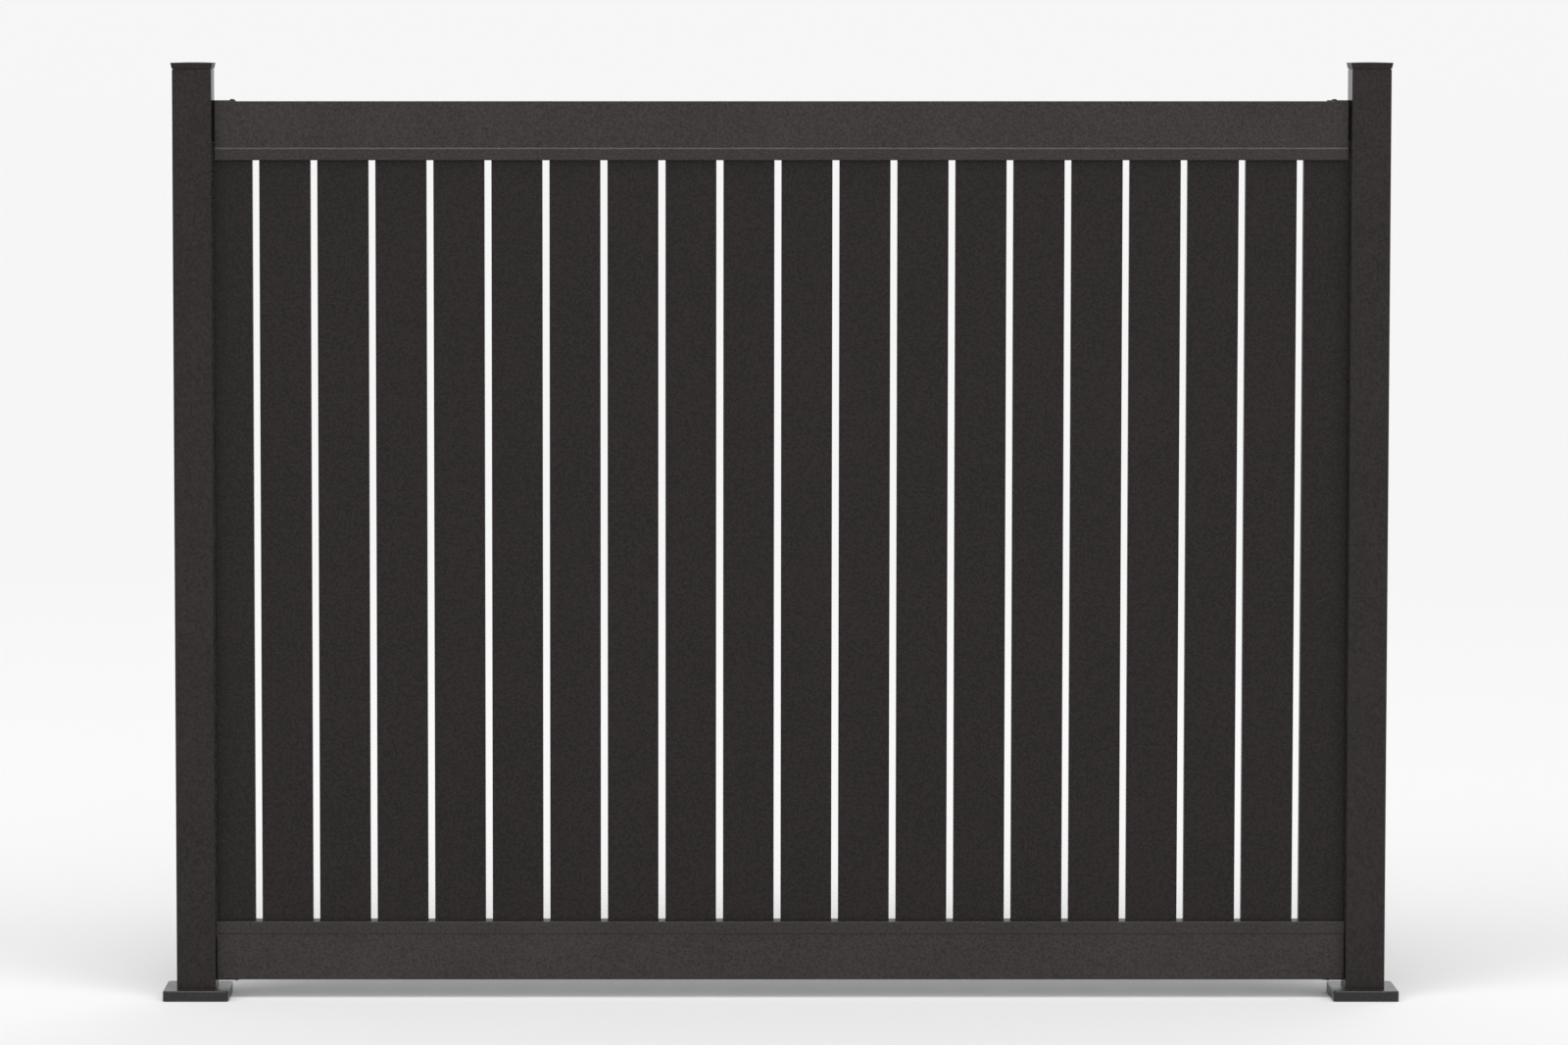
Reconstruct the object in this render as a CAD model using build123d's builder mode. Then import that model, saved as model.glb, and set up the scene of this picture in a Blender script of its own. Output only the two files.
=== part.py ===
from build123d import *
import os

# Aluminium fence panel: hollow slats held in two rails, between two posts on bolt-down feet
# Millimetres; origin under the left base plate, X along the panel, front towards -Y, Z up

# Posts
POST_SPACING = 1500.0
POST_SIDE = 50.0
POST_WALL = 2.0
POST_CORNER_R = 1.2
POST_TOP_Z = 1191.3

# Post caps
CAP_NECK_SIDE = 48.0
CAP_NECK_HEIGHT = 1.2
CAP_FOOT_SIDE = 50.6
CAP_LIP_SIDE = 53.6
CAP_LIP_TOP_Z = 1200.0
CAP_CORNER_R = 1.2
CAP_EDGE_R = 0.5
CAP_CROWN_SIDE = 46.0
CAP_CROWN_RISE = 0.7
CAP_PLUG_SIDE = 45.6
CAP_PLUG_WALL = 1.8
CAP_PLUG_DEPTH = 18.0

# Base plates and the covers over them
PLATE_SIDE = 80.0
PLATE_THICK = 6.0
PLATE_CORNER_R = 3.0
ANCHOR_HOLE_R = 4.5
ANCHOR_SPACING = 62.0
COVER_WALL = 2.0
COVER_SIDE = PLATE_SIDE + 2 * COVER_WALL
COVER_TOP_Z = 13.5
COVER_POST_GAP = 0.3
COVER_EDGE_R = 2.0
COVER_CORNER_R = 4.0

# Rail covers: punched channels that snap over each rail's pocket
TRIM_DEPTH = 30.0
TRIM_WALL = 1.2
TRIM_LEG = 15.8
TRIM_CORNER_R = 1.2
TRIM_BEVEL = 1.3
TRIM_TIP = 0.3
SLOT_GAP = 0.25
BEAD_DEPTH = 0.5
BEAD_HEIGHT = 1.6
BEAD_ABOVE_TIP = 4.0

# Rails
RAIL_DEPTH = TRIM_DEPTH - 2 * TRIM_WALL
RAIL_HEIGHT = 73.8
RAIL_WALL = 1.6
RAIL_POCKET = 22.0
RAIL_CORNER_R = 1.0
RAIL_LOW_Z = 24.0
RAIL_TOP_Z = 1151.0
TOP_END_GAP = 3.6
BOTTOM_END_GAP = 1.2

# Rail brackets: angles that fix each rail end to its post
BRACKET_WIDTH = 18.0
BRACKET_LEAF = 1.2
BRACKET_REACH = 29.0
BRACKET_CORNER_R = 4.0

# Slats
SLAT_COUNT = 20
SLAT_PITCH = 74.0
SLAT_WIDTH = 65.0
SLAT_GAP = SLAT_PITCH - SLAT_WIDTH
SLAT_THICK = 16.0
SLAT_WALL = 1.2
SLAT_CORNER_R = 1.0
FIRST_GAP_X = 79.7
END_CLEARANCE = 0.6
SLAT_TOP_PLAY = 0.3

# Places that follow from the sizes above
CAP_FOOT_Z = POST_TOP_Z + CAP_NECK_HEIGHT
BAY_LOW_X = POST_SIDE / 2
BAY_HIGH_X = POST_SPACING - POST_SIDE / 2
BAY_LENGTH = BAY_HIGH_X - BAY_LOW_X
MIDDLE_X = (BAY_LOW_X + BAY_HIGH_X) / 2
MIDDLE_Z = (RAIL_LOW_Z + RAIL_TOP_Z) / 2
MOUTH_Z = RAIL_LOW_Z + RAIL_HEIGHT
TRIM_TIP_Z = MOUTH_Z + TRIM_WALL - TRIM_LEG
BEAD_Z = TRIM_TIP_Z + BEAD_ABOVE_TIP
SLAT_LOW_Z = MOUTH_Z - RAIL_POCKET
SLAT_TOP_Z = 2 * MIDDLE_Z - SLAT_LOW_Z - SLAT_TOP_PLAY

os.makedirs("parts", exist_ok=True)


def save(part, name):
    """Label a finished solid and write its file."""
    part.label = name
    export_step(part, f"parts/{name}.step")


def slat_edges():
    """List each slat's low and high X, the end ones cut to meet the posts."""
    edges = []
    for i in range(SLAT_COUNT):
        low = FIRST_GAP_X + SLAT_GAP / 2 + SLAT_PITCH * (i - 1)
        high = low + SLAT_WIDTH
        low = max(low, BAY_LOW_X + END_CLEARANCE)
        high = min(high, BAY_HIGH_X - END_CLEARANCE)
        edges.append((low, high))
    return edges


def make_post(x):
    """Square hollow post standing on its base plate."""
    inside = POST_SIDE - 2 * POST_WALL
    with BuildPart() as post:
        with BuildSketch(Plane.XY.offset(PLATE_THICK)):
            with Locations((x, 0)):
                RectangleRounded(POST_SIDE, POST_SIDE, POST_CORNER_R)
                Rectangle(inside, inside, mode=Mode.SUBTRACT)
        extrude(amount=POST_TOP_Z - PLATE_THICK)
    return post.part


def cap_outline():
    """Cap seen from any side: short neck, flared wall, narrow lip and low arched crown."""
    neck_edge = CAP_NECK_SIDE / 2
    foot_edge = CAP_FOOT_SIDE / 2
    lip_edge = CAP_LIP_SIDE / 2
    crown_edge = CAP_CROWN_SIDE / 2
    crown_top_z = CAP_LIP_TOP_Z + CAP_CROWN_RISE
    with BuildSketch() as outline:
        with BuildLine():
            Polyline(
                (-crown_edge, CAP_LIP_TOP_Z),
                (-lip_edge, CAP_LIP_TOP_Z),
                (-foot_edge, CAP_FOOT_Z),
                (-neck_edge, CAP_FOOT_Z),
                (-neck_edge, POST_TOP_Z),
                (neck_edge, POST_TOP_Z),
                (neck_edge, CAP_FOOT_Z),
                (foot_edge, CAP_FOOT_Z),
                (lip_edge, CAP_LIP_TOP_Z),
                (crown_edge, CAP_LIP_TOP_Z),
            )
            ThreePointArc(
                (crown_edge, CAP_LIP_TOP_Z),
                (0, crown_top_z),
                (-crown_edge, CAP_LIP_TOP_Z),
            )
        make_face()
    return outline.sketch


def make_cap(x):
    """Square cap where the outlines from front and side cross, with a hollow plug below."""
    outline = cap_outline()
    plug_low_z = POST_TOP_Z - CAP_PLUG_DEPTH
    hollow_side = CAP_PLUG_SIDE - 2 * CAP_PLUG_WALL
    hollow_top_z = CAP_LIP_TOP_Z - CAP_PLUG_WALL
    with BuildPart() as cap:
        with BuildSketch(Plane.XZ):
            with Locations((x, 0)):
                add(outline)
        extrude(amount=CAP_LIP_SIDE, both=True)
        with BuildSketch(Plane.YZ.offset(x)):
            add(outline)
        extrude(amount=CAP_LIP_SIDE, both=True, mode=Mode.INTERSECT)
        corners = cap.edges().filter_by_position(Axis.Z, CAP_FOOT_Z, CAP_LIP_TOP_Z, (False, False))
        fillet(corners, CAP_CORNER_R)
        lip = cap.faces().filter_by_position(Axis.Z, CAP_LIP_TOP_Z, CAP_LIP_TOP_Z)[0]
        fillet(lip.outer_wire().edges(), CAP_EDGE_R)
        with BuildSketch(Plane.XY.offset(plug_low_z)):
            with Locations((x, 0)):
                Rectangle(CAP_PLUG_SIDE, CAP_PLUG_SIDE)
        extrude(amount=CAP_PLUG_DEPTH)
        with BuildSketch(Plane.XY.offset(plug_low_z)):
            with Locations((x, 0)):
                Rectangle(hollow_side, hollow_side)
        extrude(amount=hollow_top_z - plug_low_z, mode=Mode.SUBTRACT)
    return cap.part


def make_base_plate(x):
    """Flat plate under a post, drilled for four anchors."""
    with BuildPart() as plate:
        with BuildSketch():
            with Locations((x, 0)):
                RectangleRounded(PLATE_SIDE, PLATE_SIDE, PLATE_CORNER_R)
                with GridLocations(ANCHOR_SPACING, ANCHOR_SPACING, 2, 2):
                    Circle(ANCHOR_HOLE_R, mode=Mode.SUBTRACT)
        extrude(amount=PLATE_THICK)
    return plate.part


def make_base_cover(x):
    """Thin square cover that drops over the base plate, open round the post."""
    opening = POST_SIDE + 2 * COVER_POST_GAP
    with BuildPart() as cover:
        with BuildSketch():
            with Locations((x, 0)):
                RectangleRounded(COVER_SIDE, COVER_SIDE, COVER_CORNER_R)
        extrude(amount=COVER_TOP_Z)
        fillet(cover.faces().sort_by(Axis.Z)[-1].edges(), COVER_EDGE_R)
        with BuildSketch():
            with Locations((x, 0)):
                RectangleRounded(PLATE_SIDE, PLATE_SIDE, PLATE_CORNER_R)
        extrude(amount=COVER_TOP_Z - COVER_WALL, mode=Mode.SUBTRACT)
        with BuildSketch():
            with Locations((x, 0)):
                RectangleRounded(opening, opening, POST_CORNER_R)
        extrude(amount=COVER_TOP_Z, mode=Mode.SUBTRACT)
    return cover.part


def make_rail(end_gap):
    """Rail at the bottom, with a closed chamber below and an open pocket for the slats above."""
    inside = RAIL_DEPTH - 2 * RAIL_WALL
    chamber = RAIL_HEIGHT - RAIL_POCKET - 2 * RAIL_WALL
    with BuildPart() as rail:
        with BuildSketch(Plane.YZ.offset(BAY_LOW_X + end_gap)) as profile:
            with Locations((0, RAIL_LOW_Z)):
                Rectangle(RAIL_DEPTH, RAIL_HEIGHT, align=(Align.CENTER, Align.MIN))
            fillet(profile.vertices().group_by(Axis.Y)[0], RAIL_CORNER_R)
            with Locations((0, RAIL_LOW_Z + RAIL_WALL)):
                Rectangle(inside, chamber, align=(Align.CENTER, Align.MIN), mode=Mode.SUBTRACT)
            with Locations((0, MOUTH_Z)):
                Rectangle(inside, RAIL_POCKET, align=(Align.CENTER, Align.MAX), mode=Mode.SUBTRACT)
            with Locations((-RAIL_DEPTH / 2, BEAD_Z), (RAIL_DEPTH / 2, BEAD_Z)):
                Rectangle(2 * BEAD_DEPTH, BEAD_HEIGHT, mode=Mode.SUBTRACT)
        extrude(amount=BAY_LENGTH - 2 * end_gap)
    return rail.part


def make_rail_cover(end_gap):
    """Channel snapped over the bottom rail's pocket, punched with a slot for each slat."""
    outer_y = TRIM_DEPTH / 2
    inner_y = RAIL_DEPTH / 2
    tip_y = inner_y + TRIM_TIP
    top_z = MOUTH_Z + TRIM_WALL
    bevel_z = TRIM_TIP_Z + TRIM_BEVEL
    with BuildPart() as trim:
        with BuildSketch(Plane.YZ.offset(BAY_LOW_X + end_gap)) as profile:
            with BuildLine():
                Polyline(
                    (-outer_y, bevel_z),
                    (-outer_y, top_z),
                    (outer_y, top_z),
                    (outer_y, bevel_z),
                    (tip_y, TRIM_TIP_Z),
                    (inner_y, TRIM_TIP_Z),
                    (inner_y, MOUTH_Z),
                    (-inner_y, MOUTH_Z),
                    (-inner_y, TRIM_TIP_Z),
                    (-tip_y, TRIM_TIP_Z),
                    close=True,
                )
            make_face()
            fillet(profile.vertices().group_by(Axis.Y)[-1], TRIM_CORNER_R)
            with Locations((-inner_y, BEAD_Z), (inner_y, BEAD_Z)):
                Rectangle(2 * BEAD_DEPTH, BEAD_HEIGHT)
        extrude(amount=BAY_LENGTH - 2 * end_gap)
        with BuildSketch(Plane.XY.offset(MOUTH_Z)):
            for low, high in slat_edges():
                slot_low = low - SLOT_GAP if low > BAY_LOW_X + SLAT_GAP else BAY_LOW_X
                slot_high = high + SLOT_GAP if high < BAY_HIGH_X - SLAT_GAP else BAY_HIGH_X
                with Locations(((slot_low + slot_high) / 2, 0)):
                    Rectangle(slot_high - slot_low, SLAT_THICK + 2 * SLOT_GAP)
        extrude(amount=TRIM_WALL, mode=Mode.SUBTRACT)
    return trim.part


def make_left_bracket(end_gap):
    """Angle at the bottom left, with a leg that fills the rail's end gap and a thin leaf under the rail."""
    leg_x = BAY_LOW_X + end_gap
    leaf_x = BAY_LOW_X + BRACKET_REACH
    leaf_z = RAIL_LOW_Z - BRACKET_LEAF
    with BuildPart() as bracket:
        with BuildSketch(Plane.XZ):
            with BuildLine():
                Polyline(
                    (BAY_LOW_X, SLAT_LOW_Z),
                    (BAY_LOW_X, leaf_z),
                    (leaf_x, leaf_z),
                    (leaf_x, RAIL_LOW_Z),
                    (leg_x, RAIL_LOW_Z),
                    (leg_x, SLAT_LOW_Z),
                    close=True,
                )
            make_face()
        extrude(amount=BRACKET_WIDTH / 2, both=True)
        fillet(bracket.edges().filter_by(Axis.Z).sort_by(Axis.X)[-2:], BRACKET_CORNER_R)
    return bracket.part


def turned_over(part):
    """Mirror a piece at the bottom rail up to the top rail's place."""
    with BuildPart() as upper:
        mirror(part, about=Plane.XY.offset(MIDDLE_Z))
    return upper.part


def turned_end(part):
    """Mirror a piece at the left post over to the right post."""
    with BuildPart() as other:
        mirror(part, about=Plane.YZ.offset(MIDDLE_X))
    return other.part


def make_slat(low, high):
    """Flat hollow slat standing in the bottom rail's pocket and reaching into the top one's."""
    width = high - low
    with BuildPart() as slat:
        with BuildSketch(Plane.XY.offset(SLAT_LOW_Z)):
            with Locations(((low + high) / 2, 0)):
                RectangleRounded(width, SLAT_THICK, SLAT_CORNER_R)
                Rectangle(width - 2 * SLAT_WALL, SLAT_THICK - 2 * SLAT_WALL, mode=Mode.SUBTRACT)
        extrude(amount=SLAT_TOP_Z - SLAT_LOW_Z)
    return slat.part


# Two posts, each with its cap, base plate and cover
for side, post_x in (("left", 0.0), ("right", POST_SPACING)):
    save(make_post(post_x), f"{side}_post")
    save(make_cap(post_x), f"{side}_post_cap")
    save(make_base_plate(post_x), f"{side}_base_plate")
    save(make_base_cover(post_x), f"{side}_base_cover")

# Rails and the punched covers that the slats pass through
save(turned_over(make_rail(TOP_END_GAP)), "top_rail")
save(turned_over(make_rail_cover(TOP_END_GAP)), "top_rail_cover")
save(make_rail(BOTTOM_END_GAP), "bottom_rail")
save(make_rail_cover(BOTTOM_END_GAP), "bottom_rail_cover")

# A bracket at each end of each rail
top_left_bracket = turned_over(make_left_bracket(TOP_END_GAP))
bottom_left_bracket = make_left_bracket(BOTTOM_END_GAP)
save(turned_end(top_left_bracket), "top_right_bracket")
save(turned_end(bottom_left_bracket), "bottom_right_bracket")
save(top_left_bracket, "top_left_bracket")
save(bottom_left_bracket, "bottom_left_bracket")

# Slats from left to right
for number, (low_x, high_x) in enumerate(slat_edges(), start=1):
    save(make_slat(low_x, high_x), f"slat_{number:02d}")
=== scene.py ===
"""Looks of an aluminium fence panel: coated posts, rails, slats and feet, with the fixings on its rails."""

import logging
import math
from dataclasses import dataclass, field
from enum import Enum
from typing import Any, Mapping, Optional, Tuple

import bpy
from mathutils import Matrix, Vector


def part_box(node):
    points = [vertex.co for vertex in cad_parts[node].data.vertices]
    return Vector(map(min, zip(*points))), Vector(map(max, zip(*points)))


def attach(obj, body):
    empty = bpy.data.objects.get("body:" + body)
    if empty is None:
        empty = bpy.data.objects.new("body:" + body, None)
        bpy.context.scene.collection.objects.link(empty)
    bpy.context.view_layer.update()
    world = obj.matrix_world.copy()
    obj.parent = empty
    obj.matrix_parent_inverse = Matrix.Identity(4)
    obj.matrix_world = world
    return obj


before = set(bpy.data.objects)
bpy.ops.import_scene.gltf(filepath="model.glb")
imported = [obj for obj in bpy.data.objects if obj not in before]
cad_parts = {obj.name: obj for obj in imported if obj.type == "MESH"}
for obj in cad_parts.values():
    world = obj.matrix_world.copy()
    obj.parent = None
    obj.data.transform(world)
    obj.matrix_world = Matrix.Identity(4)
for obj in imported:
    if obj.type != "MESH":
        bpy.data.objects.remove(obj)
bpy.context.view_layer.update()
LOG = logging.getLogger("fence_panel")

Colour = Tuple[float, float, float]
Socket = bpy.types.NodeSocket
WHITE: Colour = (1.0, 1.0, 1.0)
RAIL_BROWN: Colour = (0.0298, 0.0247, 0.0238)

# Features of the coat's texture per metre.
SPECKLE_SCALE = 340.0
CLOUD_SCALE = 7.0
GRAIN_SCALE = 950.0
WAVE_SCALE = 55.0
EDGE_BREAK_SCALE = 60.0

# How far clouds and lots move the tone, how far light and dark specks go, and the span of noise that is used.
CLOUD_REACH = 0.12
LOT_REACH = 0.04
DARK_SHADE, LIGHT_SHADE = 0.50, 1.50
NOISE_SPAN = (0.3, 0.7)
EDGE_WIDTH = 0.0012


class Side(Enum):
    """The two ends of the panel."""

    LEFT = "left"
    RIGHT = "right"


class Level(Enum):
    """The two rails, with the way each one's outer face looks."""

    TOP = ("top", 1.0)
    BOTTOM = ("bottom", -1.0)

    @property
    def word(self) -> str:
        """Name of the rail in the frame."""
        return self.value[0]

    @property
    def faces_up(self) -> bool:
        """Whether the outer face of the rail looks up."""
        return self.value[1] > 0


class Run(Enum):
    """Which way a section was drawn, as streaks per metre along each axis."""

    SIDEWAYS = (2.5, 380.0, 380.0)
    UPRIGHT = (380.0, 380.0, 2.5)
    MOULDED = (70.0, 70.0, 70.0)


@dataclass
class NodeBoard:
    """Short calls for adding and joining the nodes of one tree."""

    tree: bpy.types.NodeTree

    def add(self, kind: str, inputs: Optional[Mapping[Any, Any]] = None, **settings: Any) -> bpy.types.Node:
        """Add a node, set it up and feed its sockets.

        Args:
            kind: Blender's name for the kind of node.
            inputs: socket names or numbers, each with a value or the socket that feeds it.
            **settings: properties of the node itself.

        Returns:
            The new node.
        """
        node = self.tree.nodes.new(kind)
        for name, value in settings.items():
            setattr(node, name, value)
        for key, value in (inputs or {}).items():
            if isinstance(value, Socket):
                self.tree.links.new(value, node.inputs[key])
            else:
                node.inputs[key].default_value = value
        return node

    def math(self, operation: str, *terms: Any) -> Socket:
        """Work out a sum of one to three terms.

        Args:
            operation: Blender's name for the operation.
            *terms: numbers or sockets, in order.

        Returns:
            The socket with the result.
        """
        return self.add("ShaderNodeMath", dict(enumerate(terms)), operation=operation).outputs[0]

    def noise(self, place: Socket, scale: float, detail: float = 2.0) -> Socket:
        """Cloudy noise between 0 and 1.

        Args:
            place: coordinates to read it at.
            scale: features per metre.
            detail: octaves of finer noise on top.

        Returns:
            The socket with the value.
        """
        return self.add("ShaderNodeTexNoise", {"Vector": place, "Scale": scale, "Detail": detail}).outputs[0]

    def remap(self, value: Socket, span: Tuple[float, float], to: Tuple[float, float]) -> Socket:
        """Move a value from one span to another, held at its ends.

        Args:
            value: the value to move.
            span: its own low and high end.
            to: what those ends become.

        Returns:
            The socket with the result.
        """
        ends = {"Value": value, "From Min": span[0], "From Max": span[1], "To Min": to[0], "To Max": to[1]}
        return self.add("ShaderNodeMapRange", ends).outputs["Result"]

    def blend(self, factor: Any, first: Any, second: Any) -> Socket:
        """Mix two colours.

        Args:
            factor: share of the second colour.
            first: a colour or the socket that gives it.
            second: the other colour.

        Returns:
            The socket with the mixed colour.
        """
        feeds = {0: factor, 6: first, 7: second}
        return self.add("ShaderNodeMix", feeds, data_type="RGBA").outputs[2]

    def surface(self, inputs: Mapping[str, Any]) -> None:
        """End a material's tree in its shader.

        Args:
            inputs: the shader's sockets, each with a value or the socket that feeds it.
        """
        shader = self.add("ShaderNodeBsdfPrincipled", inputs)
        self.add("ShaderNodeOutputMaterial", {"Surface": shader.outputs[0]})


def blank_board(owner: Any) -> NodeBoard:
    """Clear the tree of a new material or world.

    Args:
        owner: the material or world.

    Returns:
        The board of its empty tree.
    """
    owner.use_nodes = True
    owner.node_tree.nodes.clear()
    return NodeBoard(owner.node_tree)


def shade_of(colour: Colour, share: float) -> Tuple[float, float, float, float]:
    """Lighter or darker shade of a colour.

    Args:
        colour: the linear colour.
        share: 1 keeps it, more makes it lighter.

    Returns:
        The shade, with its alpha.
    """
    return (colour[0] * share, colour[1] * share, colour[2] * share, 1.0)


@dataclass(frozen=True)
class PowderCoat:
    """Fine-textured powder coat baked on aluminium.

    Attributes:
        name: name of the finish.
        colour: its linear colour.
        run: way the section under it was drawn.
        roughness: mean roughness.
        gloss: specular level.
        grain: strength of the fine texture's bump.
        wave: strength of the slow unevenness of the surface.
        speckle: how far the fine speckle moves the colour.
        rim: how much lighter the coat is along edges, partly from thinner coat there and partly as a painted
            highlight.
        batch: start and pitch along X of pieces whose tone differs a little, if any.
    """

    name: str
    colour: Colour
    run: Run
    roughness: float = 0.46
    gloss: float = 0.22
    grain: float = 0.10
    wave: float = 0.03
    speckle: float = 0.45
    rim: float = 2.2
    batch: Optional[Tuple[float, float]] = None

    def tone(self, board: NodeBoard, place: Socket) -> Socket:
        """Speckled and clouded colour, lighter along edges, partly from thinner coat and partly as a painted
        highlight.

        Args:
            board: the material's nodes.
            place: object coordinates.

        Returns:
            The socket with the colour.
        """
        specks = board.noise(place, SPECKLE_SCALE, 3.0)
        speckle = board.remap(specks, NOISE_SPAN, (-self.speckle, self.speckle))
        cloud = board.remap(board.noise(place, CLOUD_SCALE, 3.0), NOISE_SPAN, (-CLOUD_REACH, CLOUD_REACH))
        amount = board.math("ADD", board.math("ADD", speckle, cloud), 0.5)
        if self.batch:
            across = board.add("ShaderNodeSeparateXYZ", {0: place}).outputs["X"]
            number = board.math("DIVIDE", board.math("SUBTRACT", across, self.batch[0]), self.batch[1])
            number = board.math("FLOOR", number)
            lot = board.add("ShaderNodeTexWhiteNoise", {"W": number}, noise_dimensions="1D").outputs["Value"]
            amount = board.math("ADD", amount, board.remap(lot, (0.0, 1.0), (-LOT_REACH, LOT_REACH)))
        body = board.blend(amount, shade_of(self.colour, DARK_SHADE), shade_of(self.colour, LIGHT_SHADE))
        # Edges are blended towards a much lighter shade: partly thinner coat, partly a painted highlight.
        return board.blend(self.edge_wear_and_highlight(board, place), body, shade_of(self.colour, self.rim))

    def edge_wear_and_highlight(self, board: NodeBoard, place: Socket) -> Socket:
        """Broken line along the edges, partly where the coat is thin and partly a painted highlight,
        strongest on upper edges, where the lamps above would catch them.

        Args:
            board: the material's nodes.
            place: object coordinates.

        Returns:
            The socket with its strength.
        """
        rounded = board.add("ShaderNodeBevel", {"Radius": EDGE_WIDTH}, samples=4).outputs["Normal"]
        flat = board.add("ShaderNodeNewGeometry").outputs["Normal"]
        normals = {0: rounded, 1: flat}
        bend = board.add("ShaderNodeVectorMath", normals, operation="DOT_PRODUCT").outputs["Value"]
        line = board.remap(bend, (0.99, 0.86), (0.0, 0.5))
        # Painted highlight: edges whose rounded normal looks up keep the full line, other edges about a third
        # of it.
        rise = board.add("ShaderNodeSeparateXYZ", {0: rounded}).outputs["Z"]
        line = board.math("MULTIPLY", line, board.remap(rise, (0.05, 0.30), (0.3, 1.0)))
        breaks = board.remap(board.noise(place, EDGE_BREAK_SCALE), (0.35, 0.65), (0.4, 1.0))
        return board.math("MULTIPLY", line, breaks)

    def material(self) -> bpy.types.Material:
        """Build the finish.

        Returns:
            The material.
        """
        coat = bpy.data.materials.new(self.name)
        board = blank_board(coat)
        place = board.add("ShaderNodeTexCoord").outputs["Object"]
        drawn = board.add("ShaderNodeMapping", {"Vector": place, "Scale": self.run.value}).outputs[0]
        streak = board.noise(drawn, 1.0, 1.0)
        grain = board.noise(place, GRAIN_SCALE, 2.0)
        wave = board.noise(place, WAVE_SCALE, 1.0)
        sheen = board.math("ADD", board.math("MULTIPLY", streak, 0.6), board.math("MULTIPLY", grain, 0.4))
        spread = (self.roughness - 0.06, self.roughness + 0.06)
        fine = board.add("ShaderNodeBump", {"Strength": self.grain, "Distance": 0.0004, "Height": sheen})
        slow = {"Strength": self.wave, "Distance": 0.002, "Height": wave, "Normal": fine.outputs[0]}
        board.surface({
            "Base Color": self.tone(board, place),
            "Roughness": board.remap(sheen, NOISE_SPAN, spread),
            "Specular IOR Level": self.gloss,
            "Normal": board.add("ShaderNodeBump", slow).outputs[0],
        })
        return coat


@dataclass(frozen=True)
class ScrewSteel:
    """Dark plated steel of the screws.

    Attributes:
        name: name of the finish.
        colour: its linear colour.
        roughness: mean roughness.
    """

    name: str = "dark_plated_steel"
    colour: Colour = (0.085, 0.080, 0.076)
    roughness: float = 0.36

    def material(self) -> bpy.types.Material:
        """Build the finish.

        Returns:
            The material.
        """
        steel = bpy.data.materials.new(self.name)
        board = blank_board(steel)
        place = board.add("ShaderNodeTexCoord").outputs["Object"]
        mottle = board.noise(place, 900.0, 3.0)
        scuff = board.noise(place, 2600.0, 1.0)
        dents = board.add("ShaderNodeBump", {"Strength": 0.1, "Distance": 0.0001, "Height": scuff})
        board.surface({
            "Base Color": board.blend(mottle, shade_of(self.colour, 0.6), shade_of(self.colour, 1.6)),
            "Metallic": 0.9,
            "Roughness": board.remap(scuff, NOISE_SPAN, (self.roughness - 0.1, self.roughness + 0.1)),
            "Normal": dents.outputs[0],
        })
        return steel


def wear(node: str, finish: bpy.types.Material) -> None:
    """Put a finish on a piece of the frame.

    Args:
        node: name of the piece.
        finish: the material it gets.
    """
    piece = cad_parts[node]
    if not piece.material_slots:
        piece.data.materials.append(finish)
    for place in piece.material_slots:
        place.material = finish
    LOG.info("%s: %s", node, finish.name)


@dataclass
class Finishes:
    """Every finish of the panel, each made once."""

    post: bpy.types.Material = field(init=False)
    cap: bpy.types.Material = field(init=False)
    foot: bpy.types.Material = field(init=False)
    plate: bpy.types.Material = field(init=False)
    rail: bpy.types.Material = field(init=False)
    cover: bpy.types.Material = field(init=False)
    bracket: bpy.types.Material = field(init=False)
    slat: bpy.types.Material = field(init=False)
    screw: bpy.types.Material = field(init=False)

    def __post_init__(self) -> None:
        """Make the materials."""
        self.post = PowderCoat(
            "post_coat", (0.0172, 0.0130, 0.0125), Run.UPRIGHT, roughness=0.28, speckle=0.55
        ).material()
        # Painted shade: the cap is coloured darker than the post, standing for the shade on its
        # outward-leaning flare.
        self.cap = PowderCoat("cap_moulding_painted_shade", (0.0150, 0.0115, 0.0110), Run.MOULDED, grain=0.06).material()
        self.foot = PowderCoat(
            "foot_moulding",
            (0.0150, 0.0140, 0.0137),
            Run.MOULDED,
            roughness=0.32,
            gloss=0.36,
            grain=0.06,
            wave=0.12,
            # Partly thin coat, partly painted highlight: the foot's edges, above all its upper front edge,
            # are coloured much lighter.
            rim=4.5,
        ).material()
        self.plate = PowderCoat(
            "plate_coat", (0.0220, 0.0190, 0.0185), Run.MOULDED, roughness=0.55, gloss=0.15
        ).material()
        self.rail = PowderCoat("rail_coat", RAIL_BROWN, Run.SIDEWAYS).material()
        # Painted highlight: the top cover's edges, above all its upper edge, are painted far lighter,
        # standing for the bright line that light draws along it.
        self.cover = PowderCoat("cover_coat_painted_highlight", RAIL_BROWN, Run.SIDEWAYS, rim=18.0).material()
        self.bracket = PowderCoat(
            "bracket_coat", (0.0075, 0.0060, 0.0055), Run.MOULDED, roughness=0.45, gloss=0.10
        ).material()
        first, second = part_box("slat_02")[0].x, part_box("slat_03")[0].x
        self.slat = PowderCoat(
            "slat_coat",
            (0.0100, 0.0071, 0.0064),
            Run.UPRIGHT,
            grain=0.16,
            speckle=1.0,
            batch=(first, second - first),
        ).material()
        self.screw = ScrewSteel().material()


@dataclass
class PostStand:
    """A post with its cap, base plate and foot cover.

    Attributes:
        side: end of the panel that it stands at.
    """

    side: Side

    def dress(self, finishes: Finishes) -> None:
        """Put the finishes on its pieces.

        Args:
            finishes: the panel's finishes.
        """
        wear(f"{self.side.value}_post", finishes.post)
        wear(f"{self.side.value}_post_cap", finishes.cap)
        wear(f"{self.side.value}_base_plate", finishes.plate)
        wear(f"{self.side.value}_base_cover", finishes.foot)


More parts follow.
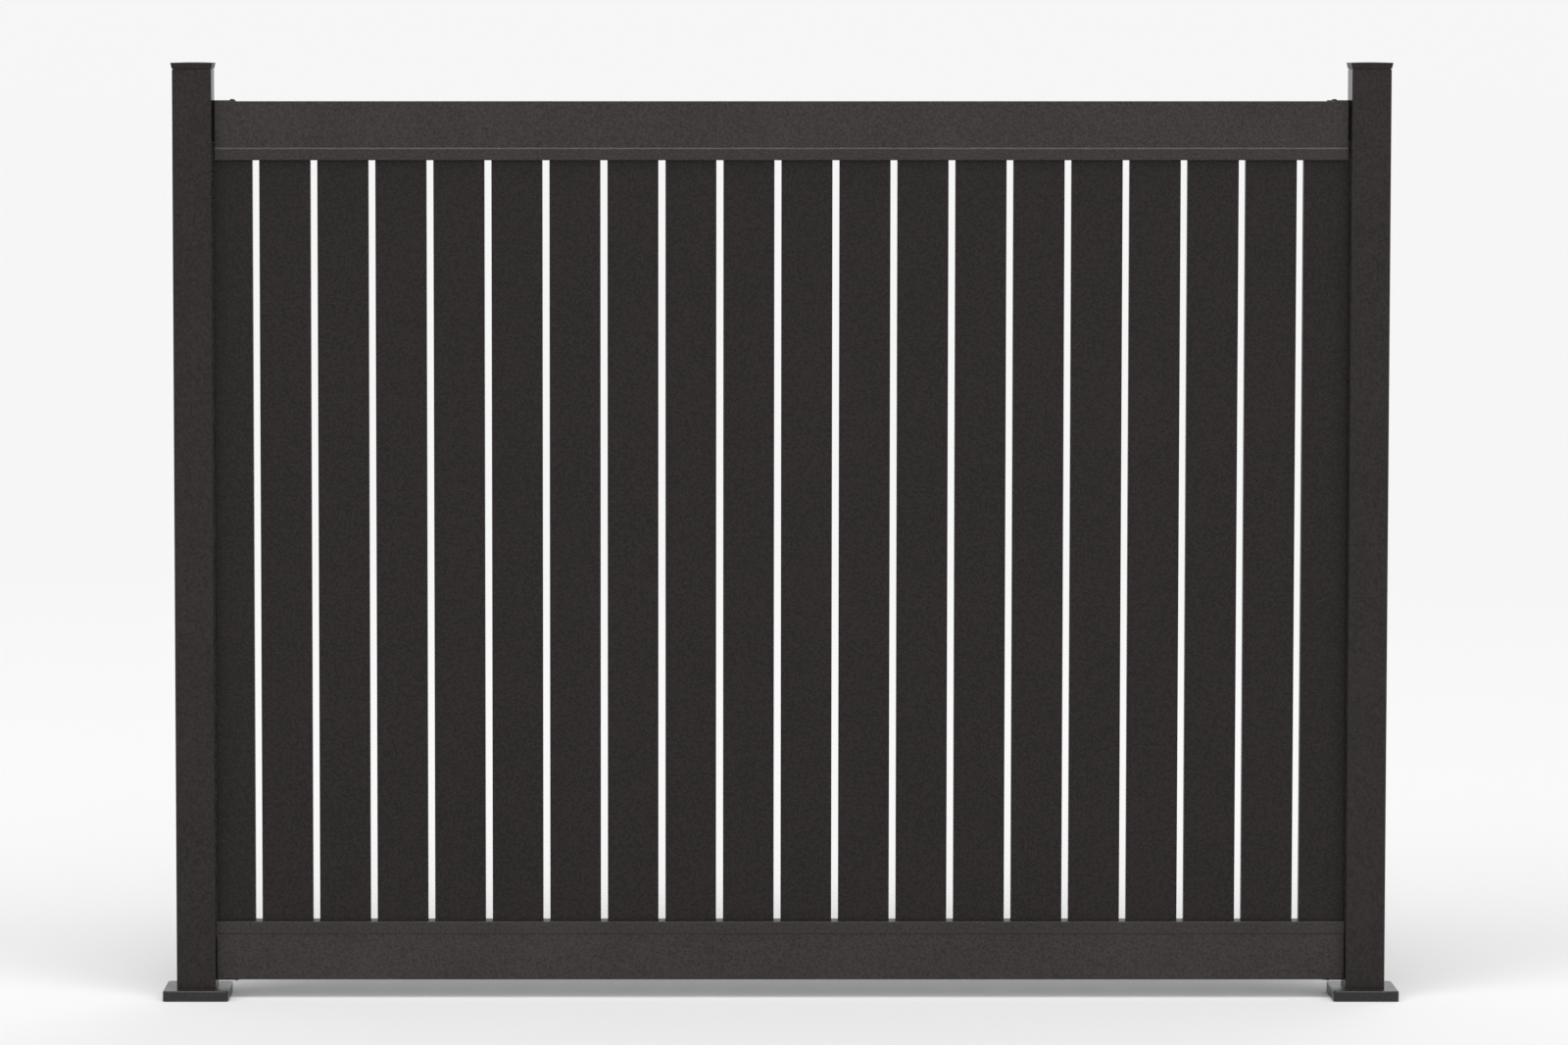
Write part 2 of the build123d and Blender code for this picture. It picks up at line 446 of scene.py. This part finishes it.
@dataclass
class BracketScrews:
    """Screw through each of a rail's two brackets, with its head on the bracket.

    Attributes:
        left_inset: distance of the left screw from its post.
        right_inset: distance of the right screw from its post.
        head_radius: radius of a screw's head.
        head_height: height of a screw's head.
        socket_half: half the width across the flats of its six-sided socket.
        seed: seed for the way the screws happen to be turned.
    """

    left_inset: float = 0.0250
    right_inset: float = 0.0200
    head_radius: float = 0.0030
    head_height: float = 0.0018
    socket_half: float = 0.0011
    seed: int = 7

    def tree(self, name: str, sizes: Mapping[str, Any]) -> Tuple[NodeBoard, Mapping[str, Socket]]:
        """Start a tree with named inputs.

        Args:
            name: name of the tree.
            sizes: the inputs' names, each with the kind of socket.

        Returns:
            The tree's board, and its inputs by name.
        """
        tree = bpy.data.node_groups.new(name, "GeometryNodeTree")
        tree.interface.new_socket("Geometry", in_out="OUTPUT", socket_type="NodeSocketGeometry")
        for label, kind in sizes.items():
            tree.interface.new_socket(label, in_out="INPUT", socket_type=kind)
        board = NodeBoard(tree)
        given = board.add("NodeGroupInput")
        return board, {label: given.outputs[label] for label in sizes}

    def end_pair(self, board: NodeBoard, given: Mapping[str, Socket]) -> Socket:
        """Two points on the brackets' outer faces, one near each post.

        Args:
            board: the tree's board.
            given: the tree's inputs.

        Returns:
            The socket with the points.
        """
        low = board.math("ADD", given["Low X"], given["Left Inset"])
        high = board.math("SUBTRACT", given["High X"], given["Right Inset"])
        start = board.add("ShaderNodeCombineXYZ", {"X": low, "Z": given["Level"]}).outputs[0]
        end = board.add("ShaderNodeCombineXYZ", {"X": high, "Z": given["Level"]}).outputs[0]
        line = {"Count": 2, "Start Location": start, "Offset": end}
        return board.add("GeometryNodeMeshLine", line, mode="END_POINTS").outputs["Mesh"]

    def place(
        self, board: NodeBoard, given: Mapping[str, Socket], points: Socket, part: Socket, turn: Socket
    ) -> None:
        """Set a part on the points, turn it to face outwards, and end the tree.

        Args:
            board: the tree's board.
            given: the tree's inputs.
            points: where the parts go.
            part: the part.
            turn: how far each one is turned about its own axis.
        """
        angles = board.add("ShaderNodeCombineXYZ", {"X": given["Facing"], "Z": turn}).outputs[0]
        facing = board.add("FunctionNodeEulerToRotation", {"Euler": angles}).outputs[0]
        spots = {"Points": points, "Instance": part, "Rotation": facing}
        set_out = board.add("GeometryNodeInstanceOnPoints", spots).outputs[0]
        whole = board.add("GeometryNodeRealizeInstances", {"Geometry": set_out}).outputs[0]
        coat = {"Geometry": whole, "Material": given["Finish"]}
        dressed = board.add("GeometryNodeSetMaterial", coat).outputs[0]
        board.add("NodeGroupOutput", {"Geometry": dressed})

    def softened(self, board: NodeBoard, mesh: Socket) -> Socket:
        """Shade a part smooth, with its sharp edges kept.

        Args:
            board: the tree's board.
            mesh: the part.

        Returns:
            The socket with the shaded part.
        """
        whole = {"Geometry": mesh, "Shade Smooth": True}
        smooth = board.add("GeometryNodeSetShadeSmooth", whole, domain="FACE")
        angle = board.add("GeometryNodeInputMeshEdgeAngle").outputs["Unsigned Angle"]
        sharp = board.math("GREATER_THAN", angle, 0.6)
        creased = {"Geometry": smooth.outputs[0], "Selection": sharp, "Shade Smooth": False}
        return board.add("GeometryNodeSetShadeSmooth", creased, domain="EDGE").outputs[0]

    def screw_tree(self) -> bpy.types.NodeTree:
        """Tree that makes a rail's two screws: low domed heads with a six-sided socket.

        Returns:
            The tree.
        """
        ends = ("Low X", "High X", "Level", "Facing", "Left Inset", "Right Inset")
        sizes = dict.fromkeys((*ends, "Radius", "Height", "Socket"), "NodeSocketFloat")
        kinds = {**sizes, "Seed": "NodeSocketInt", "Finish": "NodeSocketMaterial"}
        board, given = self.tree("rail_screws", kinds)
        collar = board.math("MULTIPLY", given["Height"], 0.35)
        drum = {"Vertices": 24, "Radius": given["Radius"], "Depth": collar}
        head = board.add("GeometryNodeMeshCylinder", drum, fill_type="NGON")
        mesh, top = head.outputs["Mesh"], head.outputs["Top"]
        for rise, shrink in ((0.27, 0.94), (0.22, 0.82), (0.16, 0.68)):
            lift = board.math("MULTIPLY", given["Height"], rise)
            step = {"Mesh": mesh, "Selection": top, "Offset Scale": lift, "Individual": False}
            ring = board.add("GeometryNodeExtrudeMesh", step)
            top = ring.outputs["Top"]
            drawn_in = {"Geometry": ring.outputs["Mesh"], "Selection": top, "Scale": shrink}
            mesh = board.add("GeometryNodeScaleElements", drawn_in).outputs[0]
        flat_step = {"Mesh": mesh, "Selection": top, "Offset Scale": 0.0, "Individual": False}
        rim = board.add("GeometryNodeExtrudeMesh", flat_step)
        spot = board.add("ShaderNodeSeparateXYZ", {0: board.add("GeometryNodeInputPosition").outputs[0]})
        bearing = board.math("ARCTAN2", spot.outputs["Y"], spot.outputs["X"])
        within = board.math("WRAP", bearing, math.pi / 6, -math.pi / 6)
        reach = board.math("DIVIDE", given["Socket"], board.math("COSINE", within))
        corner = {
            "X": board.math("MULTIPLY", reach, board.math("COSINE", bearing)),
            "Y": board.math("MULTIPLY", reach, board.math("SINE", bearing)),
            "Z": spot.outputs["Z"],
        }
        six = board.add("ShaderNodeCombineXYZ", corner).outputs[0]
        moved = {"Geometry": rim.outputs["Mesh"], "Selection": rim.outputs["Top"], "Position": six}
        mouth = board.add("GeometryNodeSetPosition", moved).outputs[0]
        depth = board.math("MULTIPLY", given["Height"], -0.6)
        sink = {"Mesh": mouth, "Selection": rim.outputs["Top"], "Offset Scale": depth, "Individual": False}
        sunk = board.add("GeometryNodeExtrudeMesh", sink).outputs["Mesh"]
        lift = board.add("ShaderNodeCombineXYZ", {"Z": board.math("MULTIPLY", collar, 0.5)}).outputs[0]
        screw = board.add("GeometryNodeTransform", {"Geometry": sunk, "Translation": lift}).outputs[0]
        any_turn = {2: 0.0, 3: math.tau, "Seed": given["Seed"]}
        spin = board.add("FunctionNodeRandomValue", any_turn, data_type="FLOAT")
        self.place(board, given, self.end_pair(board, given), self.softened(board, screw), spin.outputs[1])
        return board.tree

    def make(self, name: str, tree: bpy.types.NodeTree, values: Mapping[str, Any]) -> bpy.types.Object:
        """Run a tree and keep its result as a plain mesh.

        Args:
            name: name of the new piece.
            tree: the tree to run.
            values: what each of its inputs is set to.

        Returns:
            The new piece.
        """
        piece = bpy.data.objects.new(name, bpy.data.meshes.new(name))
        bpy.context.scene.collection.objects.link(piece)
        maker = piece.modifiers.new("maker", "NODES")
        maker.node_group = tree
        for item in tree.interface.items_tree:
            if item.in_out == "INPUT":
                maker[item.identifier] = values[item.name]
        ready = bpy.context.evaluated_depsgraph_get()
        plain = bpy.data.meshes.new_from_object(piece.evaluated_get(ready), depsgraph=ready)
        piece.modifiers.clear()
        piece.data = plain
        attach(piece, "root")
        LOG.info("%s: %d faces", name, len(plain.polygons))
        return piece

    def build(self, level: Level, steel: bpy.types.Material) -> None:
        """Make the screws of one rail.

        Args:
            level: the rail.
            steel: finish of the screws.
        """
        left, right = (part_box(f"{level.word}_{side.value}_bracket") for side in Side)
        values = {
            "Low X": left[0].x,
            "High X": right[1].x,
            "Level": left[1].z if level.faces_up else left[0].z,
            "Facing": 0.0 if level.faces_up else math.pi,
            "Left Inset": self.left_inset,
            "Right Inset": self.right_inset,
            "Radius": self.head_radius,
            "Height": self.head_height,
            "Socket": self.socket_half,
            "Seed": self.seed,
            "Finish": steel,
        }
        screws = self.make(f"{level.word}_rail_screws", self.screw_tree(), values)


@dataclass
class Rail:
    """A rail with its snap-on cover, its two brackets and their screws.

    Attributes:
        level: which of the two rails it is.
        screws: screws through its brackets.
    """

    level: Level
    screws: BracketScrews = field(default_factory=BracketScrews)

    def dress(self, finishes: Finishes) -> None:
        """Put the finishes on the rail and add its screws.

        Args:
            finishes: the panel's finishes.
        """
        wear(f"{self.level.word}_rail", finishes.rail)
        # The top rail's cover takes the finish with the painted highlight along its upper edge.
        wear(f"{self.level.word}_rail_cover", finishes.cover if self.level.faces_up else finishes.rail)
        for side in Side:
            wear(f"{self.level.word}_{side.value}_bracket", finishes.bracket)
        self.screws.build(self.level, finishes.screw)


@dataclass
class SlatRow:
    """The upright slats, from left to right."""

    prefix: str = "slat_"

    def dress(self, finishes: Finishes) -> None:
        """Put the finish on every slat.

        Args:
            finishes: the panel's finishes.
        """
        for node in sorted(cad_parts):
            if node.startswith(self.prefix):
                wear(node, finishes.slat)


@dataclass(frozen=True)
class SoftSun:
    """A wide, even lamp far away.

    Attributes:
        name: name of the lamp.
        bearing: degrees to the right of straight in front.
        height: degrees above the ground.
        spread: width of the lamp as seen from the panel, in degrees.
        strength: its light on a face turned to it.
    """

    name: str
    bearing: float
    height: float
    spread: float
    strength: float

    def hang(self) -> None:
        """Add the lamp to the scene."""
        turn, rise = math.radians(self.bearing), math.radians(self.height)
        towards = Vector((math.sin(turn) * math.cos(rise), -math.cos(turn) * math.cos(rise), math.sin(rise)))
        light = bpy.data.lights.new(self.name, "SUN")
        light.energy = self.strength
        light.angle = math.radians(self.spread)
        lamp = bpy.data.objects.new(self.name, light)
        lamp.rotation_mode = "QUATERNION"
        lamp.rotation_quaternion = towards.to_track_quat("Z", "Y")
        lamp.location = towards * 6.0
        bpy.context.scene.collection.objects.link(lamp)


@dataclass
class Studio:
    """Pale floor, white surroundings and soft lamps.

    Attributes:
        floor_half: half the side of the floor.
        floor_drop: how far the floor lies under the feet.
        floor_colour: how much light the floor gives back near the panel.
        far_colour: the same far away, where the floor meets the white behind it.
        fade: distances between which it changes from one to the other.
        backdrop: brightness of the white that shows behind the panel.
        fill: light that the surroundings give off.
        lamps: the lamps.
    """

    floor_half: float = 120.0
    floor_drop: float = 0.0003
    floor_colour: float = 0.82
    far_colour: float = 0.778
    fade: Tuple[float, float] = (1.5, 6.0)
    backdrop: float = 0.925
    fill: float = 0.40
    lamps: Tuple[SoftSun, ...] = (
        SoftSun("front_lamp", 4.0, 22.0, 24.0, 0.25),
        SoftSun("left_lamp", -50.0, 35.0, 32.0, 0.65),
        SoftSun("right_lamp", 48.0, 35.0, 32.0, 0.55),
        SoftSun("top_lamp", 0.0, 70.0, 40.0, 1.55),
        SoftSun("back_lamp", 160.0, 35.0, 40.0, 0.40),
    )

    def floor(self) -> None:
        """Lay the floor under the feet."""
        half, drop = self.floor_half, -self.floor_drop
        corners = [(-half, -half, drop), (half, -half, drop), (half, half, drop), (-half, half, drop)]
        sheet = bpy.data.meshes.new("pale_floor")
        sheet.from_pydata(corners, [], [(0, 1, 2, 3)])
        paint = bpy.data.materials.new("pale_floor")
        board = blank_board(paint)
        place = board.add("ShaderNodeTexCoord").outputs["Object"]
        away = board.add("ShaderNodeVectorMath", {0: place}, operation="LENGTH").outputs["Value"]
        far = board.remap(away, self.fade, (0.0, 1.0))
        white = board.blend(far, shade_of(WHITE, self.floor_colour), shade_of(WHITE, self.far_colour))
        board.surface({"Base Color": white, "Roughness": 1.0, "Specular IOR Level": 0.0})
        sheet.materials.append(paint)
        ground = bpy.data.objects.new("pale_floor", sheet)
        bpy.context.scene.collection.objects.link(ground)

    def surroundings(self) -> None:
        """Make the world white to the eye and in reflections, and a softer light otherwise."""
        world = bpy.data.worlds.new("white_surroundings")
        board = blank_board(world)
        ray = board.add("ShaderNodeLightPath").outputs
        seen = board.math("MAXIMUM", ray["Is Camera Ray"], ray["Is Glossy Ray"])
        seen = board.math("MAXIMUM", seen, ray["Is Transmission Ray"])
        light = board.add("ShaderNodeBackground", {"Strength": self.fill}).outputs[0]
        white = board.add("ShaderNodeBackground", {"Strength": self.backdrop}).outputs[0]
        for pane in (light, white):
            pane.node.inputs["Color"].default_value = shade_of(WHITE, 1.0)
        both = board.add("ShaderNodeMixShader", {0: seen, 1: light, 2: white}).outputs[0]
        board.add("ShaderNodeOutputWorld", {"Surface": both})
        bpy.context.scene.world = world

    def set_up(self) -> None:
        """Lay the floor, set the world and hang the lamps."""
        self.floor()
        self.surroundings()
        for lamp in self.lamps:
            lamp.hang()
        bpy.context.scene.view_settings.view_transform = "Standard"


@dataclass
class ViewCamera:
    """Camera square to the panel, a little above its top and left of its middle.

    Attributes:
        place: where it stands.
        tilt: degrees that it looks down.
        lens: focal length in millimetres.
        shift: how far the frame is moved off the lens's axis, in frame widths.
    """

    place: Tuple[float, float, float] = (0.6034, -7.369, 1.224)
    tilt: float = 3.812
    lens: float = 132.49
    shift: Tuple[float, float] = (0.075, -0.060)

    def set_up(self) -> None:
        """Add the camera and make it the scene's own."""
        eye = bpy.data.cameras.new("front_camera")
        eye.sensor_width = 36.0
        eye.lens = self.lens
        eye.shift_x, eye.shift_y = self.shift
        eye.clip_end = 500.0
        camera = bpy.data.objects.new("front_camera", eye)
        camera.location = self.place
        camera.rotation_euler = (math.radians(90.0 - self.tilt), 0.0, 0.0)
        bpy.context.scene.collection.objects.link(camera)
        bpy.context.scene.camera = camera


def main() -> None:
    """Dress the panel, light it and set up the camera."""
    logging.basicConfig(level=logging.INFO, format="%(message)s")
    finishes = Finishes()
    for side in Side:
        PostStand(side).dress(finishes)
    for level in Level:
        Rail(level).dress(finishes)
    SlatRow().dress(finishes)
    Studio().set_up()
    ViewCamera().set_up()


if __name__ == "__main__":
    main()
